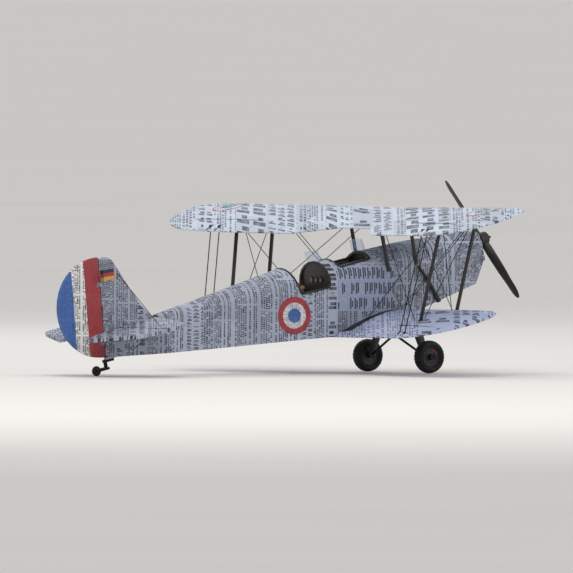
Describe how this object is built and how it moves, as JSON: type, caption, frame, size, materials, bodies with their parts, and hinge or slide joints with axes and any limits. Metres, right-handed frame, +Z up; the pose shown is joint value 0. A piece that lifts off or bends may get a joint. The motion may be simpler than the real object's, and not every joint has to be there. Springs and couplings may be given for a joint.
{
  "type": "model biplane",
  "caption": "Newsprint-covered model of an open-cockpit two-seat biplane with braced wings, ailerons, elevators, rudder, propeller and rolling wheels.",
  "frame": {"origin": "on the ground under the middle of the bounding box, with the model standing on its two main wheels and its tail wheel", "axes": "+X forwards, towards the propeller; +Y towards the left wing tip; +Z up from the ground. The thrust line is nose up by the stance on the wheels."},
  "size_m": [0.348, 0.3932, 0.1279],
  "materials": {
    "newsprint": "newsprint paper tinted pale blue over card, matt",
    "balsa": "bare balsa and thin plywood",
    "black_paint": "wood painted satin black",
    "steel": "blackened steel wire and tube",
    "rubber": "black rubber",
    "screen": "clear bluish acetate sheet",
    "hub": "dark satin plastic",
    "brass": "turned brass"
  },
  "bodies": {
    "airframe": {"cowl_lower": "newsprint", "cowl_upper": "newsprint", "nose_plate": "balsa", "firewall": "balsa", "side_panel_left": "newsprint", "side_panel_right": "newsprint", "belly_panel": "newsprint", "front_decking": "newsprint", "turtle_deck": "newsprint", "longerons": "balsa", "formers": "balsa", "cockpit_floor": "balsa", "coamings": "rubber", "instrument_panels": "black_paint", "front_seat": "balsa", "rear_seat": "balsa", "windscreens": "screen", "exhaust_pipe": "steel", "upper_skin_left": "newsprint", "upper_skin_right": "newsprint", "lower_skin_left": "newsprint", "lower_skin_right": "newsprint", "upper_centre_skin": "newsprint", "wing_spars": "balsa", "wing_ribs": "balsa", "interplane_struts_left": "black_paint", "interplane_struts_right": "black_paint", "cabane_struts": "black_paint", "fin": "newsprint", "stern_post": "balsa", "tailplane": "newsprint", "flying_wires": "steel", "landing_wires": "steel", "bracing_wires": "steel", "hinge_pins": "steel", "half_axles": "steel", "landing_legs": "black_paint", "axle_bracket": "steel", "wheel_caps": "steel", "tail_leg": "steel", "propeller_bushes": "brass"},
    "propeller": {"propeller": "black_paint", "propeller_hub_plate": "steel", "propeller_shaft": "steel"},
    "wheel_left": {"tyre_left": "rubber", "wheel_hub_left": "hub"},
    "wheel_right": {"tyre_right": "rubber", "wheel_hub_right": "hub"},
    "tail_fork": {"tail_fork": "steel"},
    "tail_wheel": {"tail_wheel": "rubber"},
    "rudder": {"rudder": "newsprint"},
    "elevator": {"elevator_left": "newsprint", "elevator_right": "newsprint", "elevator_tube": "steel"},
    "aileron_lower_left": {"lower_aileron_left": "newsprint"},
    "aileron_upper_left": {"upper_aileron_left": "newsprint"},
    "aileron_lower_right": {"lower_aileron_right": "newsprint"},
    "aileron_upper_right": {"upper_aileron_right": "newsprint"},
    "links_left": {"aileron_links_left": "steel"},
    "links_right": {"aileron_links_right": "steel"}
  },
  "joints": [
    {"name": "propeller_spin", "type": "hinge", "parent": "airframe", "child": "propeller", "pos_m": [0.16514, 0, 0.08869], "axis": [0.9764, 0, 0.2159], "continuous": true},
    {"name": "wheel_spin_left", "type": "hinge", "parent": "airframe", "child": "wheel_left", "pos_m": [0.09772, 0.0369, 0.011], "axis": [0, 1, 0], "continuous": true},
    {"name": "wheel_spin_right", "type": "hinge", "parent": "airframe", "child": "wheel_right", "pos_m": [0.09772, -0.0369, 0.011], "axis": [0, 1, 0], "continuous": true},
    {"name": "tail_fork_swivel", "type": "hinge", "parent": "airframe", "child": "tail_fork", "pos_m": [-0.13567, 0, 0.0063], "axis": [-0.2159, 0, 0.9764], "range_deg": [-35, 35]},
    {"name": "tail_wheel_spin", "type": "hinge", "parent": "tail_fork", "child": "tail_wheel", "pos_m": [-0.14322, 0, 0.0034], "axis": [0, 1, 0], "continuous": true},
    {"name": "rudder_swing", "type": "hinge", "parent": "airframe", "child": "rudder", "pos_m": [-0.14068, 0, 0.04564], "axis": [-0.0912, 0, 0.9958], "range_deg": [-25, 25]},
    {"name": "elevator_swing", "type": "hinge", "parent": "airframe", "child": "elevator", "pos_m": [-0.12784, 0, 0.03107], "axis": [0, 1, 0], "range_deg": [-25, 25]},
    {"name": "aileron_lower_left_swing", "type": "hinge", "parent": "airframe", "child": "aileron_lower_left", "pos_m": [0.03551, 0.094, 0.03145], "axis": [-0.1758, 0.9844, 0.0087], "range_deg": [-22, 22]},
    {"name": "aileron_upper_left_swing", "type": "hinge", "parent": "airframe", "child": "aileron_upper_left", "pos_m": [0.04971, 0.094, 0.09921], "axis": [-0.1758, 0.9844, 0.0087], "range_deg": [-22, 22]},
    {"name": "links_left_swing", "type": "hinge", "parent": "aileron_lower_left", "child": "links_left", "pos_m": [0.02256, 0.11406, 0.02896], "axis": [-0.1758, 0.9844, 0.0087], "range_deg": [-22, 22]},
    {"name": "aileron_lower_right_swing", "type": "hinge", "parent": "airframe", "child": "aileron_lower_right", "pos_m": [0.03551, -0.094, 0.03145], "axis": [-0.1758, -0.9844, 0.0087], "range_deg": [-22, 22]},
    {"name": "aileron_upper_right_swing", "type": "hinge", "parent": "airframe", "child": "aileron_upper_right", "pos_m": [0.04971, -0.094, 0.09921], "axis": [-0.1758, -0.9844, 0.0087], "range_deg": [-22, 22]},
    {"name": "links_right_swing", "type": "hinge", "parent": "aileron_lower_right", "child": "links_right", "pos_m": [0.02256, -0.11406, 0.02896], "axis": [-0.1758, -0.9844, 0.0087], "range_deg": [-22, 22]}
  ],
  "couplings": [
    {"joint": "aileron_upper_left_swing", "follows": "aileron_lower_left_swing", "ratio": 1},
    {"joint": "aileron_lower_right_swing", "follows": "aileron_lower_left_swing", "ratio": 1},
    {"joint": "aileron_upper_right_swing", "follows": "aileron_lower_left_swing", "ratio": 1},
    {"joint": "links_left_swing", "follows": "aileron_lower_left_swing", "ratio": -1},
    {"joint": "links_right_swing", "follows": "aileron_lower_left_swing", "ratio": -1}
  ]
}
